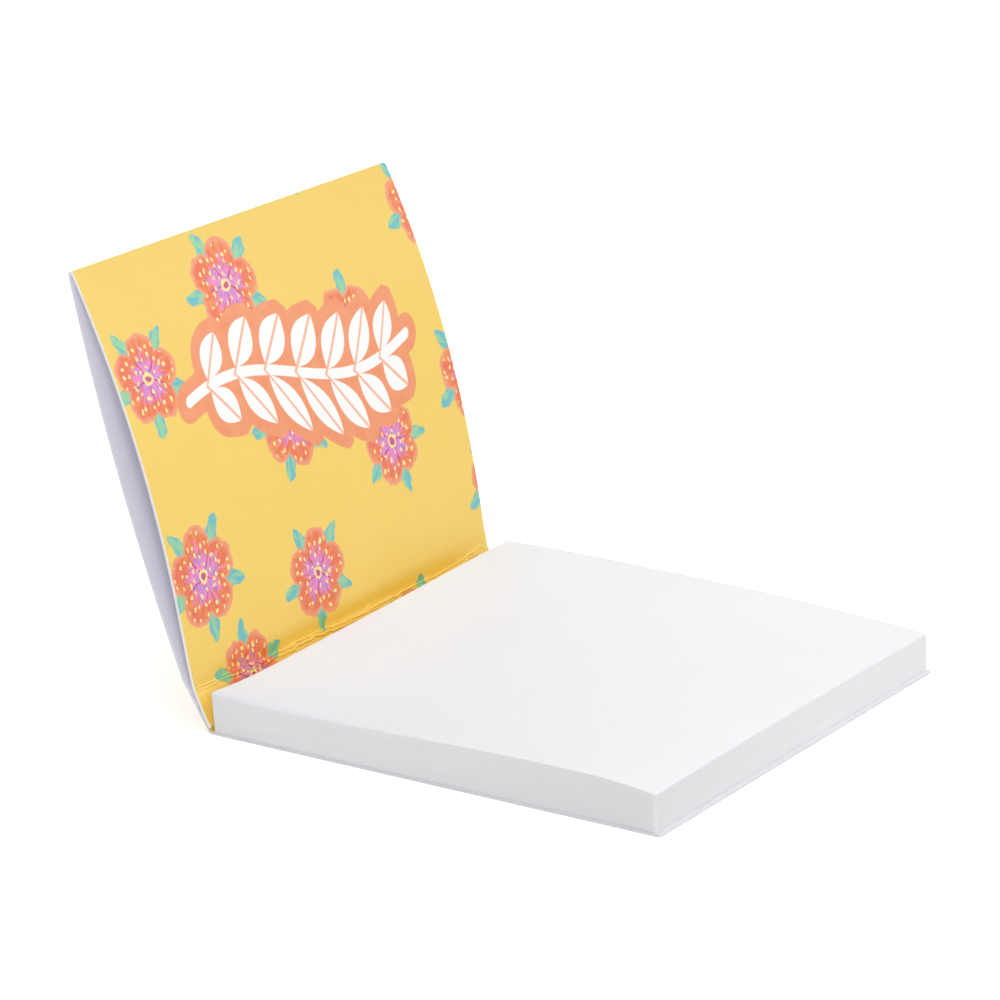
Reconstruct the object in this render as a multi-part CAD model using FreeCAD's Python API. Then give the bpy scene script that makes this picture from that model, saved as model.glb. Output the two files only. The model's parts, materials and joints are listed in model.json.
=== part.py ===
import FreeCAD, Part
import math
import os

# A block of sticky notes in a folded card cover, standing open on a table.
# X runs along the spine, Y from the open edge back to the spine, Z up.
# The origin is the middle of the base card's underside. Millimetres and degrees.

# Card
card_width = 75.0
card_thickness = 0.35
front_lip = 1.0
score_gap = 0.05

# Block of notes
side_margin = 0.05
side_shift = 0.15
block_depth = 70.0
glued_edge_height = 5.75
open_edge_height = 5.5
middle_rise = 0.65
right_corner_rise = 0.7
back_overhang = 0.25
glued_edge_radius = 0.9

# Spine
spine_clearance = 0.42
spine_above_block = 2.25
spine_lean = 33.0
tail_start = 0.9
tail_glued_length = 1.3
tail_end_clearance = 1.85
tail_opening = 0.45

# Cover
uncovered_depth = 12.5
rear_lean = 18.0
rear_bow = 1.15
front_bow = 2.35
panel_spacing = 1.15
front_panel_start = 0.5
top_fold_radius = 0.1

# Places worked out from the sizes
half_card = card_thickness / 2
score_cut = half_card + score_gap
base_length = front_lip + block_depth + spine_clearance - score_cut
base_front = -base_length / 2
base_back = base_length / 2
block_front = base_front + front_lip
block_back = block_front + block_depth
block_width = card_width - 2 * side_margin
lower_score_y = base_back + score_cut
lower_score_z = half_card
spine_length = glued_edge_height + spine_above_block
rear_chord = block_depth - uncovered_depth


def at(y, z):
    return FreeCAD.Vector(-card_width / 2, y, z)


def upward(lean):
    # unit vector that leans back from the vertical
    angle = math.radians(lean)
    return FreeCAD.Vector(0, math.sin(angle), math.cos(angle))


def forward(lean):
    # unit vector square to upward(lean), towards the block
    angle = math.radians(lean)
    return FreeCAD.Vector(0, -math.cos(angle), math.sin(angle))


def across(face):
    # a side profile becomes a strip as wide as the card
    return face.extrude(FreeCAD.Vector(card_width, 0, 0))


def line(start, end):
    return Part.LineSegment(start, end).toShape()


def bowed(start, end, bow):
    # arc whose middle stands off the chord, forward where bow is positive
    chord = end - start
    lean = math.degrees(math.atan2(chord.y, chord.z))
    middle = (start + end) * 0.5 + forward(lean) * bow
    return Part.Arc(start, middle, end).toShape()


def end_turn(chord, bow):
    # angle between an arc's chord and the arc itself at its end
    return math.degrees(2 * math.atan(2 * bow / chord))


def ribbon(edges):
    # card around its middle line, with half-round ends
    outline = Part.Wire(edges).makeOffset2D(half_card)
    return across(Part.Face(outline))


def leaf(score, lean, length):
    # flat strip from the half-round bead on its score line to a square end
    end = score + upward(lean) * length
    side = forward(lean) * half_card
    corners = [score + side, end + side, end - side, score - side]
    strip = across(Part.Face(Part.makePolygon(corners + corners[:1])))
    bead = Part.makeCylinder(half_card, card_width, score, FreeCAD.Vector(1, 0, 0))
    return strip.fuse(bead).removeSplitter()


def back_card():
    corner = at(base_front, 0)
    return Part.makeBox(card_width, base_length, card_thickness, corner)


def spine():
    # outer layer on its score, and the glued tail of the inner layer before it
    score = at(lower_score_y, lower_score_z)
    outer = leaf(score, spine_lean, spine_length - score_cut)
    up = upward(spine_lean)
    front = forward(spine_lean)
    tail_end = spine_length - tail_end_clearance - half_card
    foot = score + up * tail_start + front * card_thickness
    bend = foot + up * tail_glued_length
    tip = score + up * tail_end + front * (card_thickness + tail_opening)
    tail = ribbon([line(foot, bend), line(bend, tip)])
    return outer.fuse(tail).removeSplitter()


def cover():
    # rear panel up from the upper score, top fold, and front panel down again
    score = at(lower_score_y, lower_score_z) + upward(spine_lean) * spine_length
    rear_top = score + upward(rear_lean) * rear_chord
    rear = bowed(score, rear_top, -rear_bow)
    rear_end_lean = rear_lean - end_turn(rear_chord, rear_bow)
    fold_radius = top_fold_radius + half_card
    fold_middle = rear_top + forward(rear_end_lean) * fold_radius
    front_foot = score + forward(rear_lean) * panel_spacing + upward(rear_lean) * front_panel_start
    # the lean of the front panel at the fold follows from where its chord ends
    front_end_lean = rear_end_lean
    for step in range(8):
        front_top = fold_middle + forward(front_end_lean) * fold_radius
        chord = front_top - front_foot
        chord_lean = math.degrees(math.atan2(chord.y, chord.z))
        front_end_lean = chord_lean + end_turn(chord.Length, front_bow)
    crown_lean = (rear_end_lean + front_end_lean) / 2
    crown = fold_middle + upward(crown_lean) * fold_radius
    fold = Part.Arc(rear_top, crown, front_top).toShape()
    front = bowed(front_foot, front_top, front_bow)
    return ribbon([rear, fold, front.reversed()])


def block_section(x, edge_share, corner_share):
    # side profile of the block: flat below, its top rising between glued and open edge
    low = card_thickness
    glued_top = low + glued_edge_height + right_corner_rise * corner_share
    open_top = low + open_edge_height
    shares = [0, 0.25, 0.5, 0.75, 1]
    points = []
    for share in shares:
        straight = open_top + (glued_top - open_top) * share
        rise = middle_rise * 4 * share * (1 - share) * edge_share
        y = block_front + (block_depth + back_overhang) * share
        points.append(FreeCAD.Vector(x, y, straight + rise))
    curve = Part.BSplineCurve()
    curve.interpolate(points)
    front_low = FreeCAD.Vector(x, block_front, low)
    back_low = FreeCAD.Vector(x, block_back, low)
    return Part.Wire([
        line(front_low, points[0]),
        curve.toShape(),
        line(points[-1], back_low),
        line(back_low, front_low),
    ])


def note_block():
    # sheets glued along the back edge, which their cutting and gluing has rounded;
    # they have slid back a little towards the top, and lifted at the right end of that edge
    middle_x = side_shift
    reach = block_width / 2
    sections = [
        block_section(middle_x - reach, 0.85, 0),
        block_section(middle_x, 1.0, 0.5),
        block_section(middle_x + reach, 0.85, 1),
    ]
    block = Part.makeLoft(sections, True)
    half_way_up = card_thickness + glued_edge_height / 2
    glued_edges = []
    for edge in block.Edges:
        box = edge.BoundBox
        along_spine = box.XLength > reach
        if along_spine and box.ZMin > half_way_up and box.YMin > block_back - glued_edge_radius:
            glued_edges.append(edge)
    return block.makeFillet(glued_edge_radius, glued_edges)


def write(name, shape):
    print(name, "solids", len(shape.Solids), "valid", shape.isValid(), "volume", round(shape.Volume, 3))
    shape.Solids[0].exportStep("parts/" + name + ".step")


os.makedirs("parts", exist_ok=True)
write("back_card", back_card())
write("note_block", note_block())
write("spine", spine())
write("cover", cover())
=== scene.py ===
import json
import math

import bpy
import numpy as np
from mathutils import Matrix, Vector


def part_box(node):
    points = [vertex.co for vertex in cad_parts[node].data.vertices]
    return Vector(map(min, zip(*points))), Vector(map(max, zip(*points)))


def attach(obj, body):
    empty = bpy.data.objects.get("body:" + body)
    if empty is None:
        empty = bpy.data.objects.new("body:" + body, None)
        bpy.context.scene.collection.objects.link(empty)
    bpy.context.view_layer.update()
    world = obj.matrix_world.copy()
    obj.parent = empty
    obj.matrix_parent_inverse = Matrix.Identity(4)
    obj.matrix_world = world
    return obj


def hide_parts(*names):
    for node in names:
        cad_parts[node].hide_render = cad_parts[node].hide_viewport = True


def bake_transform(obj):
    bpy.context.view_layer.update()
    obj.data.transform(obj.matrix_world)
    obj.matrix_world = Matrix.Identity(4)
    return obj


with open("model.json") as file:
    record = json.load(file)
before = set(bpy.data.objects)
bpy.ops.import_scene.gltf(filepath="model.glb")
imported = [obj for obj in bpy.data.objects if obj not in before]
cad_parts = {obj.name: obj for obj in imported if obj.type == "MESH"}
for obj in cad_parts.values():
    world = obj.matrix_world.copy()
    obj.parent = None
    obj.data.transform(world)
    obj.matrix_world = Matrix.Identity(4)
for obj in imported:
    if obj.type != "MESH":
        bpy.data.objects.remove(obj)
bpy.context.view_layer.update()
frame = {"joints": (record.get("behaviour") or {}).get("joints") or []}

# Lengths are millimetres until a mesh is made. X runs along the spine, Y to the back, Z up.
MM = 0.001

# Card strip, with the leans and bows of its two cover layers
CARD_WIDTH = 75.0
HALF_CARD = 0.175
SPINE_LEAN = 33.0
REAR_LEAN = 18.0
REAR_CHORD = 57.5
REAR_BOW = 1.15
FRONT_BOW = 2.35
FOLD_RADIUS = 0.275
FOLD_BELOW_TOP = 0.03
PANEL_SPACING = 1.15
FRONT_START = 0.5
LINE_STEP = 0.02
FOLD_POINTS = 44
ROUNDING = 0.12
EDGE_TURN = 0.07

# Glued tail of the inner layer: how far up the spine, and how far in front of its middle line
TAIL_TIP = (5.975, 0.8)
TAIL_BEND = (2.2, 0.35)
TAIL_END = (0.56, 0.35)

# Blunt front corners of the base, print beside the score, and the tail's narrower right end
BLUNT_CORNER = 0.27
LINED_BELOW, LINED_ABOVE = 0.3, 0.75
TAIL_NARROWER = 0.3

# Where the strip is parted in two sheets
SPLIT_ON_SPINE = 4.0

# Print lies on the flat strip; one unit of the flat map is this long
FLAT_SPAN = 250.0

# Block of notes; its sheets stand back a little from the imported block's sides
BLOCK_LOW = 0.35
SET_BACK = 0.03
OVERHANG, CORNER_OVERHANG = 0.25, 0.24
GLUED_RADIUS_LEFT, GLUED_RADIUS_RIGHT = 0.9, 0.4
CUT_RADIUS, CUT_RADIUS_FRONT = 0.14, 0.19
SHOULDER_LEFT, SHOULDER_BACK_LEFT, SHOULDER_FRONT = 0.3, 0.9, 0.05
CORNER_RADII = {"front left": 0.55, "front right": 0.23, "back right": 0.23, "back left": 0.23}
FRONT_RISE = 0.26
SHEET_UNEVENNESS = 0.012
LOWEST_SHEET_IN = 0.05

# Rings of points of the block's mesh: up its sides, and in over its top by a few insets and then evenly
SIDE_LEVELS = 21
HALF_DEPTH = 35
TOP_INSETS = [0.04, 0.09, 0.15, 0.22, 0.3, 0.4, 0.55, 0.75, 1.0, 1.4, 1.9, 2.5]
TOP_RINGS_INSIDE = 33
INNERMOST_SCALE = 0.04


# Points of the strip's middle line

def up(lean):
    return np.array([math.sin(math.radians(lean)), math.cos(math.radians(lean))])


def forward(lean):
    return np.array([-math.cos(math.radians(lean)), math.sin(math.radians(lean))])


def end_turn(chord, bow):
    # angle between an arc's chord and the arc itself at its end
    return math.degrees(2 * math.atan(2 * bow / chord))


def straight(a, b):
    count = max(2, int(np.hypot(*(b - a)) / LINE_STEP))
    share = np.linspace(0, 1, count, endpoint=False)[:, None]
    return a + (b - a) * share


def bowed(a, b, bow):
    # arc whose middle stands off the chord by bow, to the left of travel where positive
    chord = b - a
    length = np.hypot(*chord)
    along = chord / length
    left = np.array([-along[1], along[0]])
    radius = (length ** 2 / 4 + bow ** 2) / (2 * abs(bow))
    s = np.linspace(0, length, max(2, int(length / LINE_STEP)), endpoint=False)
    height = np.sqrt(radius ** 2 - (s - length / 2) ** 2) - (radius - abs(bow))
    return a + np.outer(s, along) + np.outer(math.copysign(1, bow) * height, left)


def hinge_place(name):
    found = [j for j in frame["joints"] if j["name"] == name][0]
    return np.array(found["pos_m"][1:]) / MM


def strip_line():
    low = hinge_place("spine_hinge")
    top = hinge_place("cover_hinge")
    start = np.array([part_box("back_card")[0].y / MM, HALF_CARD])

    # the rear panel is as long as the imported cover's height says
    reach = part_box("cover")[1].z / MM - FOLD_BELOW_TOP - HALF_CARD - top[1]
    chord = REAR_CHORD
    for step in range(12):
        rear_top = top + up(REAR_LEAN) * chord
        end_lean = REAR_LEAN - end_turn(chord, REAR_BOW)
        middle = rear_top + forward(end_lean) * FOLD_RADIUS
        chord += (reach - (middle[1] + FOLD_RADIUS - top[1])) / math.cos(math.radians(REAR_LEAN))

    # the lean of the front panel at the fold follows from where its chord ends
    foot = top + forward(REAR_LEAN) * PANEL_SPACING + up(REAR_LEAN) * FRONT_START
    lean = end_lean
    for step in range(8):
        front_top = middle + forward(lean) * FOLD_RADIUS
        c = front_top - foot
        lean = math.degrees(math.atan2(c[0], c[1])) + end_turn(np.hypot(*c), FRONT_BOW)
    first = math.atan2(*(rear_top - middle)[::-1])
    last = math.atan2(*(front_top - middle)[::-1])
    if last < first:
        last += 2 * math.pi
    turn = np.linspace(first, last, FOLD_POINTS, endpoint=False)
    fold = middle + FOLD_RADIUS * np.stack([np.cos(turn), np.sin(turn)], 1)

    def before_spine(rise, ahead):
        return low + up(SPINE_LEAN) * rise + forward(SPINE_LEAN) * ahead

    tip, bend, end = before_spine(*TAIL_TIP), before_spine(*TAIL_BEND), before_spine(*TAIL_END)
    runs = {
        "low": straight(start, low),
        "top": straight(low, top),
        "rear_top": bowed(top, rear_top, -REAR_BOW),
        "front_top": fold,
        "foot": bowed(front_top, foot, -FRONT_BOW),
        "tip": straight(foot, tip),
        "bend": straight(tip, bend),
        "end": straight(bend, end),
        "last": end[None],
    }
    # each run is named by the place where it ends
    marks = {}
    length = 0.0
    names = list(runs)
    for name, following in zip(names, names[1:]):
        points = np.vstack([runs[name], runs[following][:1]])
        length += np.hypot(*np.diff(points, axis=0).T).sum()
        marks[name] = length
    return np.vstack(list(runs.values())), marks


def rounded_line(points):
    # the headings are smoothed a little, so that a score or fold is round and not a sharp corner
    pieces = np.diff(points, axis=0)
    lengths = np.hypot(*pieces.T)
    keep = lengths > 1e-9
    pieces, lengths = pieces[keep], lengths[keep]
    heading = np.unwrap(np.arctan2(pieces[:, 1], pieces[:, 0]))
    total = lengths.sum()
    count = int(round(total / LINE_STEP))
    grid = (np.arange(count) + 0.5) * total / count
    heading = np.interp(grid, np.cumsum(lengths) - lengths / 2, heading)
    reach = int(4 * ROUNDING / LINE_STEP)
    kernel = np.exp(-0.5 * (np.arange(-reach, reach + 1) * LINE_STEP / ROUNDING) ** 2)
    kernel /= kernel.sum()
    heading = np.convolve(np.pad(heading, reach, mode="edge"), kernel, mode="valid")
    moves = np.stack([np.cos(heading), np.sin(heading)], 1) * total / count
    place = np.vstack([points[:1], points[0] + np.cumsum(moves, axis=0)])
    s = np.arange(count + 1) * total / count
    heading = np.interp(s, grid, heading)
    outward = np.stack([np.sin(heading), -np.cos(heading)], 1)
    return s, place, outward


def spans(*ends_and_steps):
    # row places from one end to the next, each span with its own spacing
    rows = [ends_and_steps[0]]
    for end, step in zip(ends_and_steps[2::2], ends_and_steps[1::2]):
        count = max(1, int(math.ceil((end - rows[-1]) / step)))
        rows.extend(np.linspace(rows[-1], end, count + 1)[1:])
    return np.array(rows)


# Meshes

def new_object(name, vertices, faces, slots, materials, flat_uv=None, sharp=None):
    mesh = bpy.data.meshes.new(name)
    mesh.from_pydata([tuple(v) for v in np.asarray(vertices) * MM], [], faces)
    for material in materials:
        mesh.materials.append(material)
    mesh.polygons.foreach_set("material_index", slots)
    mesh.polygons.foreach_set("use_smooth", [True] * len(mesh.polygons))
    if flat_uv is not None:
        layer = mesh.uv_layers.new(name="flat")
        corner = np.zeros(len(mesh.loops), np.int32)
        mesh.loops.foreach_get("vertex_index", corner)
        layer.data.foreach_set("uv", flat_uv[corner].astype(np.float32).ravel())
    obj = bpy.data.objects.new(name, mesh)
    bpy.context.scene.collection.objects.link(obj)
    mesh.update()
    if sharp is not None:
        marked = mesh.attributes.new("sharp_edge", "BOOLEAN", "EDGE")
        edges = np.zeros(len(mesh.edges) * 2, np.int32)
        mesh.edges.foreach_get("vertices", edges)
        pairs = edges.reshape(-1, 2)
        marked.data.foreach_set("value", [bool(sharp(a, b)) for a, b in pairs])
    return obj


def card_sheet(name, grid_x, grid_s, shape, materials, joined, lined=None):
    # closed sheet of card: outer side, inner side, and cut edges all round;
    # cutting has turned the outer side's rim in, so it stands back from the rest of the edge,
    # but not where two sheets join to one strip
    down, across = grid_s.shape
    outer_x = grid_x * (1 - EDGE_TURN / grid_x.max())
    outer_s = grid_s.copy()
    outer_s[0] += 0.0 if joined == "start" else EDGE_TURN
    outer_s[-1] -= 0.0 if joined == "end" else EDGE_TURN

    def placed(x, s, height):
        y = np.interp(s, strip_s, strip_place[:, 0])
        z = np.interp(s, strip_s, strip_place[:, 1])
        ny = np.interp(s, strip_s, strip_out[:, 0])
        nz = np.interp(s, strip_s, strip_out[:, 1])
        lift, drift = shape(x, s)
        off = (lift + height) / np.hypot(ny, nz)
        return np.stack([x, y + ny * off + drift, z + nz * off], -1).reshape(-1, 3)

    def mapped(x, s):
        return np.stack([x / FLAT_SPAN + 0.5, s / FLAT_SPAN], -1).reshape(-1, 2)

    rim = [(0, j) for j in range(across)] + [(i, across - 1) for i in range(1, down)]
    rim += [(down - 1, j) for j in range(across - 2, -1, -1)] + [(i, 0) for i in range(down - 2, 0, -1)]
    rim_i, rim_j = np.array(rim).T
    rim_x, rim_s = grid_x[rim_i, rim_j], grid_s[rim_i, rim_j]
    outer = placed(outer_x, outer_s, HALF_CARD)
    inner = placed(grid_x, grid_s, -HALF_CARD)
    turned = placed(rim_x, rim_s, HALF_CARD - EDGE_TURN)
    vertices = np.concatenate([outer, inner, turned])
    flat = np.concatenate([mapped(outer_x, outer_s), mapped(grid_x, grid_s), mapped(rim_x, rim_s)])
    second = across * down

    def at(layer, i, j):
        return layer * second + i * across + j

    faces, slots = [], []
    for i in range(down - 1):
        for j in range(across - 1):
            faces.append((at(0, i, j), at(0, i, j + 1), at(0, i + 1, j + 1), at(0, i + 1, j)))
            slots.append(0)
            faces.append((at(1, i, j), at(1, i + 1, j), at(1, i + 1, j + 1), at(1, i, j + 1)))
            printed_inside = lined is not None and lined[0] < grid_s[i, j] < lined[1]
            slots.append(0 if printed_inside else 1)
    for k, here in enumerate(rim):
        following = (k + 1) % len(rim)
        there = rim[following]
        a, b = 2 * second + k, 2 * second + following
        faces.append((at(0, *there), at(0, *here), a, b))
        faces.append((b, a, at(1, *here), at(1, *there)))
        # print runs over the glued end
        glued_end = joined == "start" and here[0] == there[0] == down - 1
        slots += [0, 0] if glued_end else [2, 2]

    corners = {(0, 0), (0, across - 1), (down - 1, 0), (down - 1, across - 1)}

    def grid_place(v):
        return rim[v - 2 * second] if v >= 2 * second else divmod(v % second, across)

    def sharp(a, b):
        # along the rim of either side, and across the card's thickness at its corners
        (ia, ja), (ib, jb) = grid_place(a), grid_place(b)
        if (ia, ja) == (ib, jb):
            return (ia, ja) in corners
        if max(a, b) >= 2 * second or a // second != b // second:
            return False
        return (ia == ib and ia in (0, down - 1)) or (ja == jb and ja in (0, across - 1))

    return new_object(name, vertices, faces, slots, materials, flat, sharp)


# Procedural materials

class Nodes:
    # short forms for building a node tree; numbers and sockets both work as inputs

    def __init__(self, name):
        self.material = bpy.data.materials.new(name)
        self.material.use_nodes = True
        self.tree = self.material.node_tree
        self.shader = self.tree.nodes["Principled BSDF"]
        self.output = self.tree.nodes["Material Output"]

    def add(self, kind, **settings):
        node = self.tree.nodes.new(kind)
        for key, value in settings.items():
            setattr(node, key, value)
        return node

    def put(self, socket, value):
        if isinstance(value, bpy.types.NodeSocket):
            self.tree.links.new(value, socket)
        else:
            socket.default_value = value

    def math(self, operation, *values, clamp=False):
        node = self.add("ShaderNodeMath", operation=operation, use_clamp=clamp)
        for socket, value in zip(node.inputs, values):
            self.put(socket, value)
        return node.outputs[0]

    def plus(self, a, b):
        return self.math("ADD", a, b)

    def minus(self, a, b):
        return self.math("SUBTRACT", a, b)

    def times(self, a, b):
        return self.math("MULTIPLY", a, b)

    def slope(self, value, factor, offset, clamp=False):
        return self.math("MULTIPLY_ADD", value, factor, offset, clamp=clamp)

    def ramp(self, value, low, high):
        # from 0 at low to 1 at high
        return self.slope(value, 1 / (high - low), -low / (high - low), clamp=True)

    def distance(self, a, b):
        return self.math("SQRT", self.plus(self.times(a, a), self.times(b, b)))

    def inside(self, distance, soft=0.1):
        # 1 where the signed distance is below zero, with a soft edge as wide as soft
        return self.slope(distance, -1.0 / soft, 0.5, clamp=True)

    def mix(self, share, a, b):
        node = self.add("ShaderNodeMix", data_type="RGBA")
        for socket, value in ((node.inputs[0], share), (node.inputs[6], a), (node.inputs[7], b)):
            self.put(socket, value)
        return node.outputs[2]

    def mix_value(self, share, a, b):
        node = self.add("ShaderNodeMix", data_type="FLOAT")
        for socket, value in ((node.inputs[0], share), (node.inputs[2], a), (node.inputs[3], b)):
            self.put(socket, value)
        return node.outputs[0]

    def tinted(self, share, base, tint):
        node = self.add("ShaderNodeMix", data_type="RGBA", blend_type="MULTIPLY")
        self.put(node.inputs[0], share)
        self.put(node.inputs[6], base)
        node.inputs[7].default_value = (*tint, 1.0)
        return node.outputs[2]

    def vector(self, x, y, z=0.0):
        node = self.add("ShaderNodeCombineXYZ")
        for socket, value in zip(node.inputs, (x, y, z)):
            self.put(socket, value)
        return node.outputs[0]

    def split(self, vector):
        node = self.add("ShaderNodeSeparateXYZ")
        self.put(node.inputs[0], vector)
        return node.outputs

    def scaled(self, vector, factors):
        node = self.add("ShaderNodeVectorMath", operation="MULTIPLY")
        self.put(node.inputs[0], vector)
        node.inputs[1].default_value = factors
        return node.outputs[0]

    def noise(self, vector, scale, detail=2.0, roughness=0.5, dimensions="3D", centred=False):
        node = self.add("ShaderNodeTexNoise", noise_dimensions=dimensions)
        self.put(node.inputs["Vector"], vector)
        node.inputs["Scale"].default_value = scale
        node.inputs["Detail"].default_value = detail
        node.inputs["Roughness"].default_value = roughness
        value = node.outputs["Fac"]
        return self.minus(value, 0.5) if centred else value

    def flat_noise(self, across, along, scale, detail=2.0, roughness=0.5, centred=False):
        return self.noise(self.vector(across, along), scale, detail, roughness, "2D", centred)

    def cells(self, vector, randomness):
        # scattered points, one to each unit square
        node = self.add("ShaderNodeTexVoronoi", voronoi_dimensions="2D", feature="F1")
        self.put(node.inputs["Vector"], vector)
        node.inputs["Scale"].default_value = 1.0
        node.inputs["Randomness"].default_value = randomness
        return node.outputs

    def bump(self, height, distance, strength=1.0, normal=None):
        node = self.add("ShaderNodeBump")
        self.put(node.inputs["Height"], height)
        node.inputs["Distance"].default_value = distance
        node.inputs["Strength"].default_value = strength
        if normal is not None:
            self.put(node.inputs["Normal"], normal)
        return node.outputs[0]

    def place(self):
        return self.add("ShaderNodeTexCoord").outputs["Object"]

    def finished(self, base, roughness, normal):
        self.put(self.shader.inputs["Base Color"], base)
        self.put(self.shader.inputs["Roughness"], roughness)
        self.put(self.shader.inputs["Normal"], normal)
        return self.material


def colour(red, green, blue):
    # an sRGB colour out of 255 as the linear colour that a shader wants
    def linear(value):
        value /= 255
        return value / 12.92 if value <= 0.04045 else ((value + 0.055) / 1.055) ** 2.4

    return (linear(red), linear(green), linear(blue), 1.0)


GROUND = colour(246, 210, 104)
GROUND_DEEP = colour(243, 205, 94)
GROUND_FOLD = colour(236, 201, 97)
CORAL = colour(233, 112, 78)
CORAL_LIGHT = colour(240, 156, 118)
ORANGE = colour(238, 140, 74)
PINK = colour(240, 138, 192)
VIOLET = colour(164, 138, 220)
BERRY = colour(196, 74, 128)
GREEN = colour(146, 206, 160)
TEAL = colour(104, 186, 196)
CREAM = colour(252, 228, 150)
PEACH = colour(241, 160, 112)
PEACH_DEEP = colour(236, 138, 92)
WHITE_INK = colour(252, 250, 248)

# Print: lengths are millimetres on the flat strip, offsets and scatter are shares of the pitch
FOLD_TINT_REACH = 26.0
WOBBLE = 1.1
WOBBLE_SCALE = 0.55
BLOSSOM_PITCH_X, BLOSSOM_PITCH_Y = 23.0, 24.0
BLOSSOM_OFFSET_X, BLOSSOM_OFFSET_Y = 0.35, 0.12
BLOSSOM_SCATTER = 0.3
BLOSSOM_REACH, BLOSSOM_REACH_MORE = 6.1, 1.0
HALF_PETALS = 2.5
INK_EDGE = 0.16
HEART_RADIUS, PISTIL_RADIUS = 1.0, 0.55

# flecks: how many to a millimetre, and their radius as a share of their spacing
FLECKS_ACROSS, FLECKS_ALONG = 0.78, 0.6
FLECK_RADIUS = 0.19

GARLAND_MIDDLE_X = 0.5
GARLAND_BELOW_FOLD = 23.5
GARLAND_HALF_LENGTH = 25.0
GARLAND_SPACING = 6.6
GARLAND_SWAY, GARLAND_WAVE = 3.0, 0.105
GARLAND_LEAF_LENGTH, GARLAND_LEAF_SHORTER = 11.5, 5.2
GARLAND_LEAF_LEAN = math.radians(52)
GARLAND_LEAF_ROOT = 0.9
GARLAND_LEAF_WIDTH = 2.35
GARLAND_BORDER = 2.0
GARLAND_VEIN = 0.22
GARLAND_STEM = 0.8

# painted shade above the crease, where the card draws back into a hollow: where it begins and where it is
# full
CREASE_BELOW_FOOT = 2.5
CREASE_SHADE_FROM, CREASE_SHADE_FULL = 3.2, 1.1
CREASE_SHADE_TINT = (0.96, 0.86, 0.43)


def printed_side():
    n = Nodes("printed_card")
    uv = n.add("ShaderNodeUVMap", uv_map="flat").outputs[0]
    x, v, _ = n.split(uv)
    across = n.slope(x, FLAT_SPAN, -FLAT_SPAN / 2)
    along = n.times(v, FLAT_SPAN)

    # ground: one flat ink with the faintest mottle
    ground = n.mix(n.flat_noise(across, along, 0.09, 3.0), GROUND, GROUND_DEEP)
    # the ink is a little denser towards the fold on the front of the cover
    to_fold = n.ramp(along, FRONT_BEGINS + FOLD_TINT_REACH, FRONT_BEGINS)
    to_fold = n.times(to_fold, n.math("GREATER_THAN", along, FRONT_BEGINS))
    ground = n.mix(n.times(to_fold, 0.8), ground, GROUND_FOLD)

    art = blossoms(n, ground, across, along)
    # pale garland with a peach border, on the front of the cover only
    art = garland(n, art, across, along)
    # painted shade darkens the print above the crease
    art = n.tinted(painted_crease_shade(n, across, along), art, CREASE_SHADE_TINT)

    # silk coat: fine fibre relief below an even sheen
    fibre = n.flat_noise(across, along, 3.2, 3.0, 0.6)
    grain = n.flat_noise(across, n.times(along, 0.5), 0.35)
    normal = n.bump(fibre, 0.00002, 0.35, n.bump(grain, 0.0001, 0.3))
    return n.finished(art, n.slope(fibre, 0.1, 0.33), normal)


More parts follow.
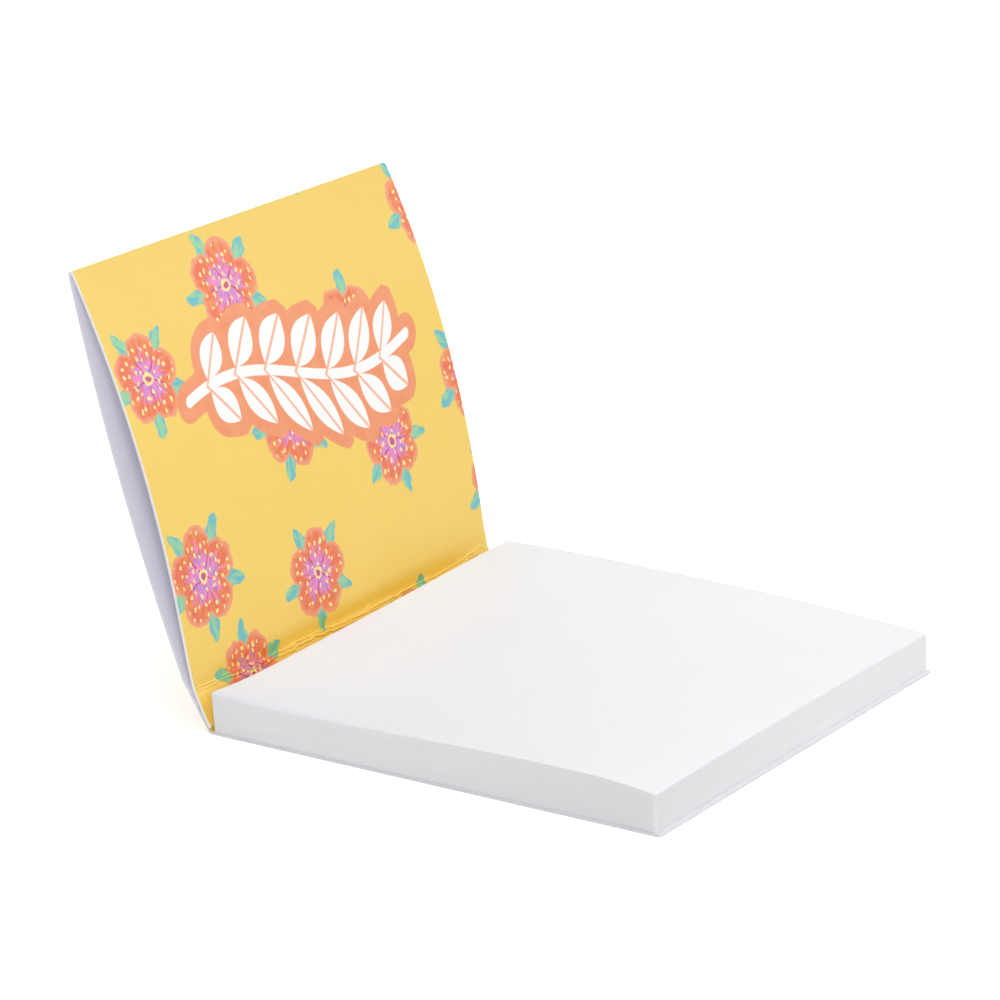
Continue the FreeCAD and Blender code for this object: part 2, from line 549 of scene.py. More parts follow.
def blossoms(n, ground, across, along):
    # hand-drawn wobble for every outline
    wobble_x = n.flat_noise(across, along, WOBBLE_SCALE, centred=True)
    wobble_y = n.flat_noise(n.plus(across, 41.0), along, WOBBLE_SCALE, centred=True)
    px = n.slope(wobble_x, WOBBLE, across)
    py = n.slope(wobble_y, WOBBLE, along)

    # half-drop lattice of blossoms, each a little off its place
    cell_x = n.slope(px, 1 / BLOSSOM_PITCH_X, BLOSSOM_OFFSET_X)
    cell_y = n.plus(n.times(py, 1 / BLOSSOM_PITCH_Y), n.slope(cell_x, 0.5, BLOSSOM_OFFSET_Y))
    lattice = n.cells(n.vector(cell_x, cell_y), BLOSSOM_SCATTER)
    centre_x, centre_y, _ = n.split(lattice["Position"])
    turn_chance, reach_chance, _ = n.split(lattice["Color"])
    step_x = n.minus(cell_x, centre_x)
    step_y = n.minus(n.minus(cell_y, centre_y), n.times(step_x, 0.5))
    dx = n.times(step_x, BLOSSOM_PITCH_X)
    dy = n.times(step_y, BLOSSOM_PITCH_Y)
    radius = n.distance(dx, dy)
    turn = n.slope(turn_chance, 6.28, n.math("ARCTAN2", dy, dx))
    petal_wave = n.math("ABSOLUTE", n.math("COSINE", n.times(turn, HALF_PETALS)))
    leaf_wave = n.math("ABSOLUTE", n.math("SINE", n.times(turn, HALF_PETALS)))
    reach = n.slope(reach_chance, BLOSSOM_REACH_MORE, BLOSSOM_REACH)
    petal_edge = n.times(reach, n.slope(n.math("POWER", petal_wave, 0.55), 0.36, 0.68))
    leaf_edge = n.times(reach, n.slope(n.math("POWER", leaf_wave, 5.0), 0.92, 0.42))

    # leaves: green and teal strokes
    stroke = n.flat_noise(n.times(turn, 9.0), n.times(radius, 0.35), 0.8)
    leaf_ink = n.mix(n.slope(stroke, 6.0, -2.6, clamp=True), GREEN, TEAL)

    # petals: coral with a paler rim, pink and violet strokes out of a berry heart
    share = n.math("DIVIDE", radius, petal_edge)
    coral = n.mix(n.slope(stroke, 5.0, -2.2, clamp=True), CORAL, ORANGE)
    coral = n.mix(n.slope(share, 9.0, -7.6, clamp=True), coral, CORAL_LIGHT)
    pink_share = n.math("MULTIPLY", n.minus(n.slope(stroke, 0.9, 0.12), share), 7.0, clamp=True)
    flower = n.mix(pink_share, coral, PINK)
    violet_stroke = n.flat_noise(n.times(turn, 6.0), n.times(radius, 0.5), 1.1)
    violet_share = n.times(pink_share, n.slope(violet_stroke, 8.0, -3.9, clamp=True))
    flower = n.mix(violet_share, flower, VIOLET)
    valley = n.inside(n.minus(n.times(petal_wave, radius), 0.32), 0.2)
    valley = n.times(valley, n.inside(n.minus(radius, 3.4), 1.2))
    flower = n.mix(valley, flower, BERRY)
    flower = n.mix(n.inside(n.minus(radius, HEART_RADIUS), 0.2), flower, CREAM)
    flower = n.mix(n.inside(n.minus(radius, PISTIL_RADIUS), 0.2), flower, BERRY)

    # small pale flecks over the petals, but not over the heart
    fleck = n.cells(n.vector(n.times(dx, FLECKS_ACROSS), n.times(dy, FLECKS_ALONG)), 0.6)
    fleck_share = n.inside(n.minus(fleck["Distance"], FLECK_RADIUS), 0.08)
    fleck_share = n.times(fleck_share, n.inside(n.minus(share, 0.9), 0.05))
    fleck_share = n.times(fleck_share, n.inside(n.minus(1.35, radius), 0.1))
    flower = n.mix(fleck_share, flower, CREAM)

    art = n.mix(n.inside(n.minus(radius, leaf_edge), INK_EDGE), ground, leaf_ink)
    return n.mix(n.inside(n.minus(radius, petal_edge), INK_EDGE), art, flower)


def garland(n, art, across, along):
    # leaves in pairs along a slow wave; each is a pointed oval on a slant
    a = n.minus(across, GARLAND_MIDDLE_X)
    sway = n.times(n.math("SINE", n.times(a, GARLAND_WAVE)), GARLAND_SWAY)
    b = n.minus(n.minus(along, GARLAND_MIDDLE), sway)
    side = n.math("ABSOLUTE", b)
    cosine, sine = math.cos(GARLAND_LEAF_LEAN), math.sin(GARLAND_LEAF_LEAN)

    def leaf(shift, grow):
        # distance from the leaf pair that a place is nearest to, or from its neighbour, and the leaf's vein
        root = n.times(n.math("FLOOR", n.slope(a, 1 / GARLAND_SPACING, 0.5 - shift)), GARLAND_SPACING)
        near = n.minus(a, root)
        share = n.math("DIVIDE", root, GARLAND_HALF_LENGTH)
        length = n.slope(n.times(share, share), -GARLAND_LEAF_SHORTER, GARLAND_LEAF_LENGTH)
        along_leaf = n.plus(n.times(near, cosine), n.times(side, sine))
        off_leaf = n.math("ABSOLUTE", n.minus(n.times(side, cosine), n.times(near, sine)))
        past_root = n.plus(along_leaf, grow - GARLAND_LEAF_ROOT)
        part = n.math("DIVIDE", past_root, n.plus(length, 2 * grow - GARLAND_LEAF_ROOT))
        bulge = n.math("MAXIMUM", n.times(n.times(part, n.minus(1.0, part)), 4.0), -1.0)
        width = n.slope(bulge, GARLAND_LEAF_WIDTH + grow * 0.55, grow * 0.45)
        distance = n.minus(off_leaf, width)
        beyond = n.minus(n.math("ABSOLUTE", root), GARLAND_HALF_LENGTH)
        distance = n.math("MAXIMUM", distance, n.times(beyond, 50.0))
        distance = n.math("MAXIMUM", distance, n.minus(along_leaf, n.plus(length, grow)))
        return distance, n.inside(n.minus(off_leaf, GARLAND_VEIN), 0.12)

    def leaves_and_stem(grow):
        first, first_vein = leaf(0.0, grow)
        second, second_vein = leaf(1.0, grow)
        vein = n.mix_value(n.math("LESS_THAN", second, first), first_vein, second_vein)
        beyond = n.minus(n.math("ABSOLUTE", n.plus(a, -1.5)), GARLAND_HALF_LENGTH + 1.0)
        stem = n.minus(n.distance(n.math("MAXIMUM", beyond, 0.0), b), GARLAND_STEM + grow)
        return n.math("MINIMUM", n.math("MINIMUM", first, second), stem), vein

    outer, _ = leaves_and_stem(GARLAND_BORDER)
    inner, vein = leaves_and_stem(0.0)
    on_front = n.math("GREATER_THAN", along, FRONT_BEGINS)
    border_ink = n.mix(n.flat_noise(across, along, 0.4), PEACH, PEACH_DEEP)
    art = n.mix(n.times(n.inside(outer, INK_EDGE), on_front), art, border_ink)
    white = n.times(n.inside(inner, 0.14), on_front)
    return n.mix(white, art, n.mix(n.times(vein, 0.8), WHITE_INK, PEACH))


def painted_crease_shade(n, across, along):
    # painted shade: the inks are darkened above the crease, where the card draws back into a hollow, but not
    # at its two ends
    crease_shade = n.ramp(along, CREASE_AT - CREASE_SHADE_FROM, CREASE_AT - CREASE_SHADE_FULL)
    crease_shade = n.times(crease_shade, n.ramp(along, CREASE_AT + 6.0, CREASE_AT + 3.0))
    ends = n.times(n.ramp(across, -39.0, -27.0), n.ramp(across, 37.0, 25.0))
    uneven = n.slope(n.flat_noise(across, along, 0.16), 0.9, 0.5, clamp=True)
    return n.times(n.times(n.math("SMOOTH_MIN", crease_shade, 1.0, 0.3), ends), uneven)


def bare_side(name, pale, deep):
    # uncoated inside of the card: cool white with soft fibre
    n = Nodes(name)
    place = n.place()
    cloud = n.noise(place, 90.0, 3.0)
    fibre = n.noise(place, 2600.0, 2.0, 0.6)
    return n.finished(n.mix(cloud, pale, deep), n.slope(fibre, 0.1, 0.78), n.bump(fibre, 0.00003, 0.4))


def cut_edge(name, pale, deep):
    # the pressed edge of the card: pale, with the blade's fine tearing along it
    n = Nodes(name)
    tear = n.noise(n.place(), 7000.0, 2.0, 0.6)
    return n.finished(n.mix(tear, pale, deep), n.slope(tear, 0.15, 0.75), n.bump(tear, 0.00002, 0.4))


def top_paper():
    # uncoated paper, nearly smooth, with the soft mottle of its fibres
    n = Nodes("paper_top")
    place = n.place()
    cloud = n.noise(place, 60.0, 3.0)
    fibre = n.noise(place, 3200.0, 3.0, 0.6)
    drift = n.noise(n.scaled(place, (1.0, 0.35, 1.0)), 45.0, 2.0)
    paper = n.mix(cloud, colour(247, 248, 251), colour(244, 245, 248))
    # painted shade: faintly cooler and duller towards the glued edge, for the cover's shade there and against
    # the warm light the cover bounces onto the top
    glue_edge_shade = n.slope(n.split(place)[1], 25.0, 0.3, clamp=True)
    paper = n.tinted(glue_edge_shade, paper, (0.905, 0.93, 0.97))
    normal = n.bump(fibre, 0.00002, 0.4, n.bump(drift, 0.0003, 0.25))
    return n.finished(paper, n.slope(fibre, 0.1, 0.8), normal)


def sheet_edges():
    # cut edges of the stacked sheets: long fine lines, some sheets a hair prouder than others
    n = Nodes("paper_edges")
    place = n.place()
    lines = n.noise(n.scaled(place, (60.0, 60.0, 9000.0)), 1.0, 1.0)
    bands = n.noise(n.scaled(place, (45.0, 45.0, 1100.0)), 1.0, 1.0)
    cloud = n.noise(place, 130.0, 3.0)
    shade = n.slope(bands, 0.4, n.plus(n.times(lines, 0.3), n.times(cloud, 0.3)))
    edges = n.mix(n.slope(shade, 2.2, -0.6, clamp=True), colour(237, 237, 239), colour(244, 244, 245))
    # painted shade: a little greyer towards the front left corner
    x, y, _ = n.split(place)
    away = n.distance(n.plus(x, 0.0373), n.plus(y, 0.0346))
    corner_shade = n.slope(away, -20.0, 1.0, clamp=True)
    edges = n.mix(n.times(corner_shade, 0.95), edges, colour(230, 230, 232))
    normal = n.bump(lines, 0.000012, 0.35, n.bump(bands, 0.00003, 0.3))
    return n.finished(edges, n.slope(lines, 0.12, 0.78), normal)


# The card strip: a base sheet that turns at the lower score, and a cover sheet from there on

line_points, marks = strip_line()
strip_s, strip_place, strip_out = rounded_line(line_points)
split = marks["low"] + SPLIT_ON_SPINE
FRONT_BEGINS = (marks["rear_top"] + marks["front_top"]) / 2
GARLAND_MIDDLE = marks["front_top"] + GARLAND_BELOW_FOLD
CREASE_AT = marks["foot"] + CREASE_BELOW_FOOT

printed = printed_side()
# painted light: the cover's bare side is a pale copy, kept light for the shaded hollow between the cover's
# panels
bare = bare_side("bare_card", colour(249, 247, 255), colour(244, 242, 252))
cut = cut_edge("cut_card", colour(249, 248, 252), colour(240, 239, 245))
# painted shade: the base's bare side and cut edge are darker copies of the cover's, a little duller for the
# shade beside the block and on the table
shaded_bare_base = bare_side("shaded_bare_base", colour(232, 230, 235), colour(227, 225, 230))
shaded_cut_base = cut_edge("shaded_cut_base", colour(240, 238, 245), colour(230, 228, 236))

columns = np.linspace(-CARD_WIDTH / 2, CARD_WIDTH / 2, 181)


def flat_shape(x, s):
    return np.zeros_like(x), np.zeros_like(x)


def bell(distance, width):
    return np.exp(-0.5 * (distance / width) ** 2)


def smooth(value, low, high):
    share = np.clip((value - low) / (high - low), 0, 1)
    return share * share * (3 - 2 * share)


def wander(x, spacing, seed):
    # smooth random line along x, about one unit up and down
    random = np.random.default_rng(seed)
    knots = np.arange(-CARD_WIDTH / 2 - 3 * spacing, CARD_WIDTH / 2 + 3 * spacing, spacing)
    values = random.normal(0, 0.7, len(knots))
    fine = np.linspace(knots[0], knots[-1], 3000)
    rough = np.interp(fine, knots, values)
    reach = max(1, int(0.35 * spacing / (fine[1] - fine[0])))
    kernel = np.hanning(2 * reach + 1)
    return np.interp(x, fine, np.convolve(rough, kernel / kernel.sum(), mode="same"))


# where the ridge of the crease runs: x, and how far below the front panel's foot
CREASE_RUN = np.array([
    (-37.5, 2.1), (-29.2, 2.14), (-23.9, 2.3), (-20.9, 2.5), (-17.1, 2.62), (-11.9, 2.5), (-7.3, 2.62),
    (-4.0, 2.56), (0.4, 2.86), (4.3, 2.86), (7.0, 2.8), (11.1, 2.5), (12.6, 2.64), (17.3, 2.62),
    (21.1, 2.5), (24.3, 2.48), (27.9, 2.36), (31.9, 2.05), (36.1, 1.78), (37.5, 1.7),
])
CREASE_MEAN = 2.45

# its forms: heights, widths, and how far below the ridge they run
HOLLOW_DEPTH = 0.3
RIDGE_HEIGHT, RIDGE_WIDTH = 0.085, 0.058
GROOVE_DEPTH, GROOVE_WIDTH, GROOVE_BELOW = 0.048, 0.09, 0.2
SECOND_HEIGHT, SECOND_WIDTH, SECOND_BELOW = 0.055, 0.08, 0.5
LAST_DEPTH, LAST_WIDTH, LAST_BELOW = 0.05, 0.13, 0.8
CRUMPLE_HEIGHT, CRUMPLE_WIDTH = 0.03, 0.5
LEAST_CREASED = 0.2

# short folds that leave the ridge on a slant: height, how far above it at an x, slant, width,
# and the x and half length of the fold itself
CREASE_BRANCHES = [
    (0.07, 0.45, 5.6, 0.13, 0.08, 5.0, 1.5),
    (0.05, 0.3, -8.5, -0.16, 0.08, -9.0, 1.3),
    (0.05, 0.25, 19.5, 0.15, 0.07, 19.0, 1.2),
]


# the twist: how far the cover's right and left ends stand off the straight strip;
# the front panel's right end by the powers of its height, cubed first
REAR_TOP_FORWARD_RIGHT = 0.6
FRONT_BACK_RIGHT = [1.05, -1.11, -0.95, 0.41]
FOOT_FORWARD_RIGHT, FOOT_FORWARD_LEFT = 0.16, 0.26
TAIL_BACK_RIGHT, TAIL_TIP_MORE = 0.25, 0.17


def ridge_down(x):
    return np.interp(x, *CREASE_RUN.T) + 0.15 * wander(x, 2.6, 3) + 0.18 * wander(x, 1.1, 4)


def crease_lift(x, s):
    # the panel draws back towards the crease, then stands out in a thin crumpled ridge
    below = s - (marks["foot"] + ridge_down(x))
    right = np.clip((x + CARD_WIDTH / 2) / CARD_WIDTH, 0, 1)

    def uneven(spacing, seed, amount, least):
        return np.clip(1 + amount * wander(x, spacing, seed), least, 2.0)

    hollow = smooth(below, -3.2, -0.3) * (1 - smooth(below, -0.22, 0.02))
    second_below = SECOND_BELOW + 0.14 * wander(x, 2.8, 7)
    lift = -HOLLOW_DEPTH * (1 - 0.8 * right) * hollow
    lift += RIDGE_HEIGHT * uneven(2.4, 5, 0.9, 0.1) * bell(below, RIDGE_WIDTH)
    lift -= GROOVE_DEPTH * uneven(2.0, 9, 0.9, 0.0) * bell(below - GROOVE_BELOW, GROOVE_WIDTH)
    lift += SECOND_HEIGHT * uneven(2.2, 6, 1.1, 0.0) * bell(below - second_below, SECOND_WIDTH)
    lift -= LAST_DEPTH * bell(below - LAST_BELOW, LAST_WIDTH)
    for height, above, start, slant, width, middle, reach in CREASE_BRANCHES:
        lift += height * bell(below + above + (x - start) * slant, width) * bell(x - middle, reach)
    lift += CRUMPLE_HEIGHT * wander(x, 1.3, 8) * bell(below - GROOVE_BELOW, CRUMPLE_WIDTH)
    # the crease fades out at the left end, where the card is scarcely creased
    return lift * (LEAST_CREASED + (1 - LEAST_CREASED) * smooth(x, -36.0, -25.0))


def cover_twist(x, s):
    # the cover is a little twisted: its right end leans further forward and its foot stands further back
    right = np.clip((x + CARD_WIDTH / 2) / CARD_WIDTH, 0, 1)
    rear_rise = np.clip((s - marks["top"]) / (marks["rear_top"] - marks["top"]), 0, 1)
    rear = -REAR_TOP_FORWARD_RIGHT * right * rear_rise ** 1.3
    rise = np.clip((marks["foot"] - s) / (marks["foot"] - marks["front_top"]), 0, 1)
    front_right = np.polyval(FRONT_BACK_RIGHT, rise) - FOOT_FORWARD_RIGHT * np.exp(-rise / 0.012)
    front_left = -FOOT_FORWARD_LEFT * np.exp(-rise / 0.05)
    front = right * front_right + (1 - right) * front_left
    to_tip = np.clip((s - marks["foot"]) / (marks["tip"] - marks["foot"]), 0, 1)
    to_bend = np.clip((s - marks["tip"]) / (marks["bend"] - marks["tip"]), 0, 1)
    tail_right = TAIL_BACK_RIGHT + TAIL_TIP_MORE * to_tip
    tail_left = -FOOT_FORWARD_LEFT * (1 - to_tip)
    tail = (right * tail_right + (1 - right) * tail_left) * (1 - to_bend)
    return np.where(s > marks["foot"], tail, np.where(s > FRONT_BEGINS, front, rear))


def cover_shape(x, s):
    return crease_lift(x, s), cover_twist(x, s)


base_rows = spans(0.0, 2.0, marks["low"] - 1.0, 0.08, marks["low"] + 1.0, 0.5, split)
base_x, base_s = np.meshgrid(columns, base_rows)
# its front corners are blunt
blunt = np.clip((np.abs(base_x) - 36.9) / 0.6, 0, 1) ** 2 * (1 - np.clip(base_s / 4, 0, 1))
base_s = base_s + BLUNT_CORNER * blunt
# the glued inner layer is thin at its start, so the inner side is printed about the score
lined = (marks["low"] - LINED_BELOW, marks["low"] + LINED_ABOVE)
base_materials = [printed, shaded_bare_base, shaded_cut_base]
base_sheet = card_sheet("base_sheet", base_x, base_s, flat_shape, base_materials, "end", lined)

crease_middle = marks["foot"] + CREASE_MEAN
cover_rows = spans(
    split, 0.5, marks["top"] - 1.4, 0.16, marks["top"] + 1.8, 1.7,
    marks["rear_top"] - 0.5, 0.08, marks["front_top"] + 0.5, 1.7,
    marks["foot"] - 6.0, 0.5, crease_middle - 1.6, 0.2, crease_middle - 0.5, 0.055,
    crease_middle + 1.1, 0.3, strip_s[-1],
)
cover_x, cover_s = np.meshgrid(columns, cover_rows)
# the glued tail is cut a little narrower at its right end
tail = smooth(cover_s, marks["foot"] + 0.6, marks["foot"] + 3.2)
cover_x = cover_x - TAIL_NARROWER * tail * np.clip((cover_x - 20.0) / 17.5, 0, 1) ** 2
# rows near the crease run along its ridge
near_crease = cover_s - crease_middle
follow = smooth(near_crease, -5.0, -1.6) * (1 - smooth(near_crease, 1.3, 4.0))
cover_s = cover_s + follow * (ridge_down(cover_x) - CREASE_MEAN)
cover_sheet = card_sheet("cover_sheet", cover_x, cover_s, cover_shape, [printed, bare, cut], "start")


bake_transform(base_sheet)
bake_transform(cover_sheet)
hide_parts("back_card")
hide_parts("spine", "cover")


# The block of notes

block_low, block_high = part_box("note_block")
BLOCK_X0, BLOCK_X1 = block_low.x / MM, block_high.x / MM
BLOCK_Y0, BLOCK_Y1 = block_low.y / MM, block_high.y / MM

# heights of the top's edges above the table: left and right from back to front, as shares of the depth,
# and the back from left to right, by x
LEFT_EDGE = np.array([
    (0, 6.28), (0.1, 6.06), (0.19, 5.97), (0.28, 5.98), (0.37, 6.07), (0.46, 6.22), (0.55, 6.36),
    (0.64, 6.49), (0.73, 6.57), (0.82, 6.58), (0.87, 6.54), (0.91, 6.4), (0.96, 6.09), (1, 5.68),
])
RIGHT_EDGE = np.array([
    (0, 7.25), (0.1, 7.38), (0.2, 7.44), (0.3, 7.42), (0.4, 7.37), (0.5, 7.28), (0.6, 7.16),
    (0.7, 6.96), (0.78, 6.7), (0.84, 6.46), (0.89, 6.26), (0.95, 6.0), (1, 5.68),
])
BACK_EDGE = np.array([
    (-37.5, 6.28), (-33, 5.98), (-29, 5.84), (-24, 5.86), (-15.4, 6.02),
    (-5, 6.22), (5.7, 6.48), (16.7, 6.81), (27.9, 7.1), (37.6, 7.25),
])
BACK_LEFT, FRONT_LEFT = LEFT_EDGE[0, 1], LEFT_EDGE[-1, 1]
BACK_RIGHT, FRONT_RIGHT = RIGHT_EDGE[0, 1], RIGHT_EDGE[-1, 1]


def eased(value, table):
    # a table read as a smooth curve that keeps its two ends
    places, heights = table.T
    fine = np.linspace(places[0], places[-1], 801)
    padded = np.pad(np.interp(fine, places, heights), 64, mode="reflect", reflect_type="odd")
    kernel = np.hanning(129)
    return np.interp(value, fine, np.convolve(padded, kernel / kernel.sum(), mode="valid"))


def from_left(x):
    return np.clip((x - BLOCK_X0) / (BLOCK_X1 - BLOCK_X0), 0, 1)


def top_height(x, y):
    # the top between its four edges, each with the rise that the photograph shows
    u = from_left(x)
    v = np.clip((BLOCK_Y1 - y) / (BLOCK_Y1 - BLOCK_Y0), 0, 1)
    front = FRONT_LEFT + (FRONT_RIGHT - FRONT_LEFT) * u + FRONT_RISE * 4 * u * (1 - u)
    between_sides = (1 - u) * eased(v, LEFT_EDGE) + u * eased(v, RIGHT_EDGE)
    between_ends = (1 - v) * eased(x, BACK_EDGE) + v * front
    at_back = (1 - u) * BACK_LEFT + u * BACK_RIGHT
    at_front = (1 - u) * FRONT_LEFT + u * FRONT_RIGHT
    return between_sides + between_ends - ((1 - v) * at_back + v * at_front)


def outline_points():
    # round the block from the front left corner; each point with its outward direction
    x0, x1, y0, y1 = BLOCK_X0, BLOCK_X1, BLOCK_Y0, BLOCK_Y1
    fl, fr, br, bl = (CORNER_RADII[name] for name in ("front left", "front right", "back right", "back left"))
    # each side's two ends and outward direction, then the middle and radius of the corner after it
    sides = [
        ((x0 + fl, y0), (x1 - fr, y0), (0, -1), (x1 - fr, y0 + fr), fr),
        ((x1, y0 + fr), (x1, y1 - br), (1, 0), (x1 - br, y1 - br), br),
        ((x1 - br, y1), (x0 + bl, y1), (0, 1), (x0 + bl, y1 - bl), bl),
        ((x0, y1 - bl), (x0, y0 + fl), (-1, 0), (x0 + fl, y0 + fl), fl),
    ]
    points = []
    for (ax, ay), (bx, by), direction, (cx, cy), r in sides:
        for share in np.linspace(0, 1, 76):
            points.append((ax + (bx - ax) * share, ay + (by - ay) * share, *direction))
        first = math.atan2(direction[1], direction[0])
        for step in range(1, 6):
            angle = first + math.radians(15 * step)
            nx, ny = math.cos(angle), math.sin(angle)
            points.append((cx + r * nx, cy + r * ny, nx, ny))
    return np.array(points)


def rounded_off(distance, radius):
    # how far a quarter-round edge has fallen at a distance from the side
    near = np.clip(radius - distance, 0, radius)
    return radius - np.sqrt(radius ** 2 - near ** 2)


def edge_drop(x, y):
    # the top falls away along the glued back edge, most at its left end, and has a soft shoulder on the left
    glued_radius = GLUED_RADIUS_LEFT + (GLUED_RADIUS_RIGHT - GLUED_RADIUS_LEFT) * from_left(x)
    to_back = smooth(y, BLOCK_Y0 + 15.0, BLOCK_Y1 - 3.0)
    shoulder = SHOULDER_LEFT + (SHOULDER_BACK_LEFT - SHOULDER_LEFT) * to_back
    shoulder = SHOULDER_FRONT + (shoulder - SHOULDER_FRONT) * smooth(y, BLOCK_Y0 + 0.1, BLOCK_Y0 + 6.0)
    return np.maximum(rounded_off(BLOCK_Y1 - y, glued_radius), rounded_off(x - BLOCK_X0, shoulder))


def cut_radius(y):
    # the blade's rounding of the top edge, a little larger along the front
    return CUT_RADIUS + (CUT_RADIUS_FRONT - CUT_RADIUS) * (1 - smooth(y, BLOCK_Y0 + 0.1, BLOCK_Y0 + 1.6))


def notes_rings(centre):
    # rings of points up the cut sides, round the top edge, and in over the top
    x, y, nx, ny = outline_points().T
    random = np.random.default_rng(7)
    rounded = cut_radius(y)
    inset = SET_BACK + rounded
    edge_top = top_height(x, y) - edge_drop(x - nx * inset, y - ny * inset)
    uneven = random.normal(0, SHEET_UNEVENNESS, SIDE_LEVELS)
    # the sheets have slid back a little towards the top, and the lowest are pressed in
    rings = []
    for k in range(SIDE_LEVELS):
        share = (0, 0.025)[k] if k < 2 else (k - 1) / (SIDE_LEVELS - 2)
        z = BLOCK_LOW + (edge_top - rounded - BLOCK_LOW) * share
        drawn_in = SET_BACK + uneven[k] * (1 - np.maximum(ny, 0)) + (LOWEST_SHEET_IN if k == 0 else 0.0)
        rings.append(np.stack([x - nx * drawn_in, y - ny * drawn_in - OVERHANG * (1 - share), z], 1))
    for step in range(1, 6):
        angle = math.radians(18 * step)
        inset = SET_BACK + rounded * (1 - math.cos(angle))
        z = edge_top - rounded + rounded * math.sin(angle)
        rings.append(np.stack([x - nx * inset, y - ny * inset, z], 1))
    last = rings[-1][:, :2]
    scales = [1 - inset / HALF_DEPTH for inset in TOP_INSETS]
    scales += list(np.linspace(scales[-1], INNERMOST_SCALE, TOP_RINGS_INSIDE + 1)[1:])
    for scale in scales:
        points = centre + (last - centre) * scale
        height = top_height(*points.T) - edge_drop(*points.T)
        rings.append(np.concatenate([points, height[:, None]], 1))
    return rings


def notes_mesh():
    centre = np.array([(BLOCK_X0 + BLOCK_X1) / 2, (BLOCK_Y0 + BLOCK_Y1) / 2])
    rings = notes_rings(centre)
    count = len(rings[0])
    top_middle = [[*centre, float(top_height(*centre))]]
    under_middle = [[*centre, BLOCK_LOW]]
    vertices = np.concatenate([*rings, top_middle, under_middle])
    under = len(vertices) - 1

    # the left back corner has slid further back towards the top
    x, y, z = vertices.T
    leftward = np.clip((BLOCK_X1 - x) / (BLOCK_X1 - BLOCK_X0), 0, 1)
    upward = np.clip((z - BLOCK_LOW - 0.8) / 5.0, 0, 1)
    vertices[:, 1] += CORNER_OVERHANG * leftward * upward * smooth(y, BLOCK_Y1 - 20.0, BLOCK_Y1)

    faces, slots = [], []
    for k in range(len(rings) - 1):
        for i in range(count):
            j = (i + 1) % count
            faces.append((k * count + i, k * count + j, (k + 1) * count + j, (k + 1) * count + i))
            slots.append(1 if k < SIDE_LEVELS + 1 else 0)
    tip = (len(rings) - 1) * count
    for i in range(count):
        j = (i + 1) % count
        faces.append((tip + i, tip + j, under - 1))
        slots.append(0)
        faces.append((j, i, under))
        slots.append(1)

    def sharp(a, b):
        return a < count and b < count

    return new_object("notes", vertices, faces, slots, [top_paper(), sheet_edges()], None, sharp)


notes = notes_mesh()
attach(notes, "base")
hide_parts("note_block")


# Floor, world and lights

FLOOR_REACH = 3000.0
FLOOR_HEIGHT = -0.06
FLOOR_GLOW, FLOOR_GLOW_FAR = 0.58, 0.45
WORLD_STRENGTH = 0.16


def seen_directly(nodes, links):
    # 1 for rays of the camera and for those that a gloss or a clear body sends on
    rays = nodes.new("ShaderNodeLightPath").outputs
    seen = rays["Is Camera Ray"]
    for name in ("Is Glossy Ray", "Is Transmission Ray"):
        either = nodes.new("ShaderNodeMath")
        either.operation = "MAXIMUM"
        links.new(seen, either.inputs[0])
        links.new(rays[name], either.inputs[1])
        seen = either.outputs[0]
    return seen


def floor_material():
    # plain pale floor; a camera sees it near white, still with the object's shadow on it
    n = Nodes("floor_pale")
    n.tree.nodes.remove(n.shader)
    diffuse = n.add("ShaderNodeBsdfDiffuse")
    diffuse.inputs["Color"].default_value = (0.82, 0.82, 0.83, 1)
    # past the lamps' reach the glow makes up for them, so that the floor meets the white background
    length = n.add("ShaderNodeVectorMath", operation="LENGTH")
    n.put(length.inputs[0], n.place())
    far = n.slope(length.outputs["Value"], 0.6, -0.24, clamp=True)
    glow = n.add("ShaderNodeEmission")
    seen = seen_directly(n.tree.nodes, n.tree.links)
    n.put(glow.inputs["Strength"], n.times(seen, n.slope(far, FLOOR_GLOW_FAR, FLOOR_GLOW)))
    both = n.add("ShaderNodeAddShader")
    n.put(both.inputs[0], diffuse.outputs[0])
    n.put(both.inputs[1], glow.outputs[0])
    n.put(n.output.inputs["Surface"], both.outputs[0])
    return n.material


def white_world():
    # soft light from all round, and a white background where it is seen directly
    world = bpy.data.worlds.new("studio")
    bpy.context.scene.world = world
    world.use_nodes = True
    nodes, links = world.node_tree.nodes, world.node_tree.links
    soft = nodes["Background"]
    white = nodes.new("ShaderNodeBackground")
    for background, strength in ((soft, WORLD_STRENGTH), (white, 1.0)):
        background.inputs["Color"].default_value = (1.0, 1.0, 1.0, 1.0)
        background.inputs["Strength"].default_value = strength
    blend = nodes.new("ShaderNodeMixShader")
    links.new(seen_directly(nodes, links), blend.inputs[0])
    links.new(soft.outputs[0], blend.inputs[1])
    links.new(white.outputs[0], blend.inputs[2])
    links.new(blend.outputs[0], nodes["World Output"].inputs["Surface"])


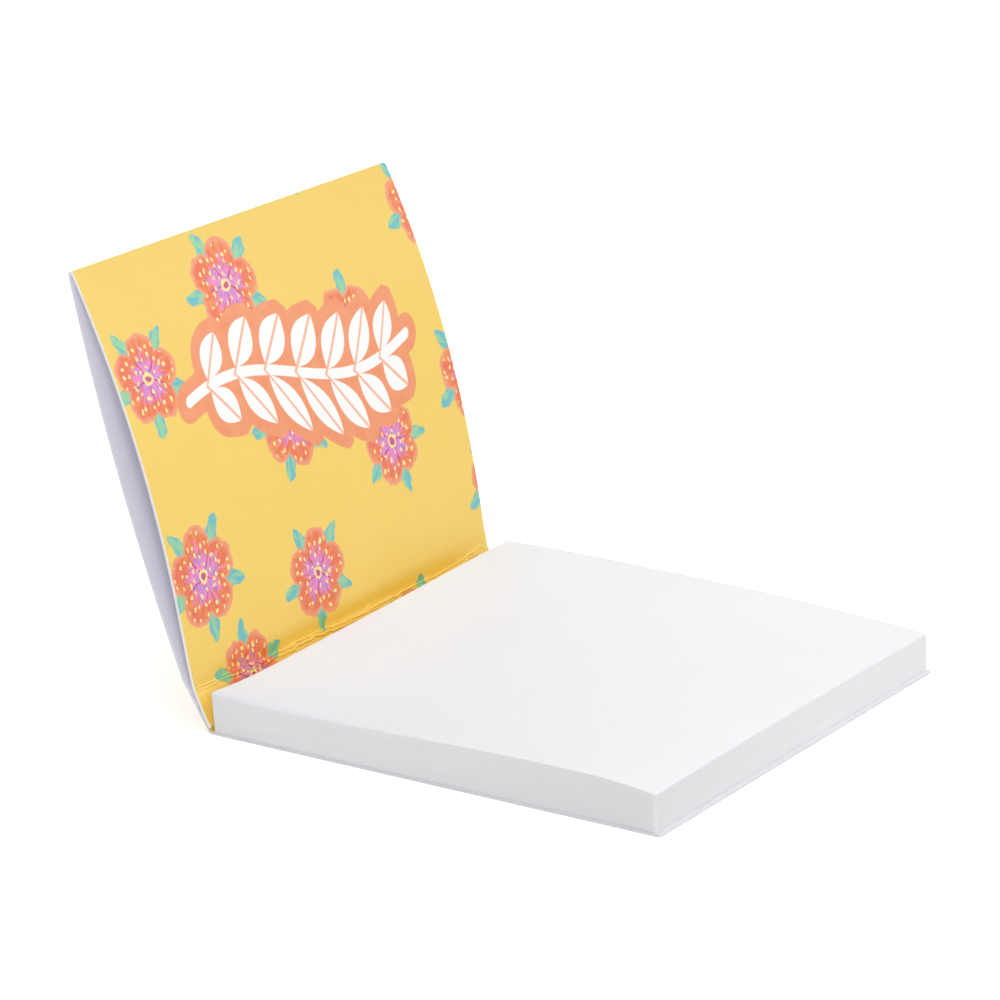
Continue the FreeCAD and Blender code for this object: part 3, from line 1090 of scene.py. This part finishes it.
# name, place and aim in metres, width and height, watts
LAMPS = [
    ("top_light", (0.1, -0.05, 0.8), (0, 0, 0), (0.9, 0.9), 4.6),
    ("front_light", (0.55, -0.66, 0.5), (0, 0, 0.03), (0.6, 0.6), 2.15),
    ("key_light", (-0.72, -0.56, 0.3), (0, 0.02, 0.03), (0.5, 0.5), 2.62),
    ("side_light", (-0.84, -0.38, 0.3), (0, 0.02, 0.03), (0.5, 0.5), 1.45),
    ("back_light", (0.5, 0.85, 0.35), (0, 0.03, 0.03), (0.7, 0.6), 1.9),
]


def softbox(name, place, aim, size, power):
    light = bpy.data.lights.new(name, "AREA")
    light.shape = "RECTANGLE"
    light.size, light.size_y = size
    light.energy = power
    obj = bpy.data.objects.new(name, light)
    bpy.context.scene.collection.objects.link(obj)
    obj.location = place
    obj.rotation_euler = (Vector(aim) - Vector(place)).to_track_quat("-Z", "Y").to_euler()


floor_corners = [
    (-FLOOR_REACH, -FLOOR_REACH, FLOOR_HEIGHT),
    (FLOOR_REACH, -FLOOR_REACH, FLOOR_HEIGHT),
    (FLOOR_REACH, FLOOR_REACH, FLOOR_HEIGHT),
    (-FLOOR_REACH, FLOOR_REACH, FLOOR_HEIGHT),
]
floor = new_object("floor", floor_corners, [(0, 1, 2, 3)], [0], [floor_material()])
white_world()
for lamp in LAMPS:
    softbox(*lamp)


# Camera at the photograph's viewing angle

CAMERA_AZIMUTH, CAMERA_ELEVATION = math.radians(-57.481), math.radians(17.587)
CAMERA_AIM = Vector((0, 0.0001125, 0))
CAMERA_BACK, CAMERA_LEFT, CAMERA_UP = 0.664083, 0.010748, 0.028185
CAMERA_LENS = 172.055

back = Vector((
    math.sin(CAMERA_AZIMUTH) * math.cos(CAMERA_ELEVATION),
    -math.cos(CAMERA_AZIMUTH) * math.cos(CAMERA_ELEVATION),
    math.sin(CAMERA_ELEVATION),
))
right = (-back).cross(Vector((0, 0, 1))).normalized()
above = right.cross(-back)
camera_data = bpy.data.cameras.new("camera")
camera_data.sensor_fit = "HORIZONTAL"
camera_data.sensor_width = 36.0
camera_data.lens = CAMERA_LENS
camera_data.clip_start = 0.01
camera_data.clip_end = 20.0
camera = bpy.data.objects.new("camera", camera_data)
bpy.context.scene.collection.objects.link(camera)
camera.location = CAMERA_AIM + back * CAMERA_BACK - right * CAMERA_LEFT + above * CAMERA_UP
camera.rotation_euler = (-back).to_track_quat("-Z", "Y").to_euler()
bpy.context.scene.camera = camera

bpy.context.scene.view_settings.view_transform = "Standard"
